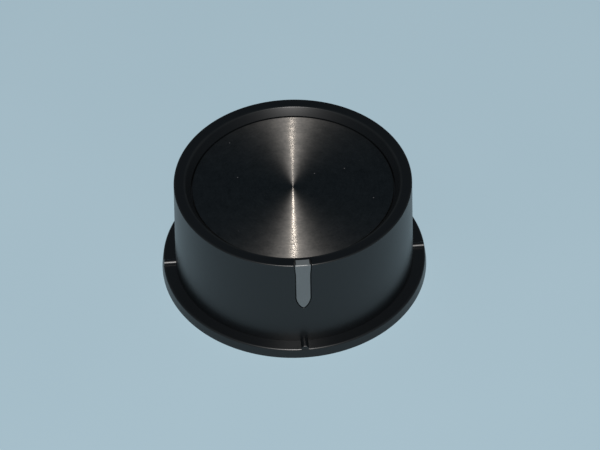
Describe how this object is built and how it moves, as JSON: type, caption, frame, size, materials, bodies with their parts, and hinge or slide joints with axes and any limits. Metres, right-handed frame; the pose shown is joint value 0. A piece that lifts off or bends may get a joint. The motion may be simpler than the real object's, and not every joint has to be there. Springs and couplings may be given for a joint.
{
  "type": "flanged control knob",
  "caption": "Round push-on control knob with a smooth side, a flange with half-round ribs, a sunk spun metal disc and a pointer set into the side, hollow underneath.",
  "frame": {"origin": "centre of the flange's underside, where the knob's axis meets the panel", "axes": "+Z along the shaft axis towards the disc, -Y towards the pointer, +X to the right as the pointer is looked at"},
  "size_m": [0.0452, 0.0452, 0.0193],
  "materials": {
    "black_plastic": "fine satin black, moulded",
    "spun_aluminium": "black anodised, spun with fine circular lines",
    "adhesive_film": "thin double-sided film",
    "grey_plastic": "fine satin grey, moulded",
    "spring_steel": "rolled strip, plain"
  },
  "bodies": {
    "root": {"knob_body": "black_plastic", "top_disc": "spun_aluminium", "disc_film": "adhesive_film", "pointer": "grey_plastic", "hub_spring_ring": "spring_steel"}
  },
  "joints": []
}
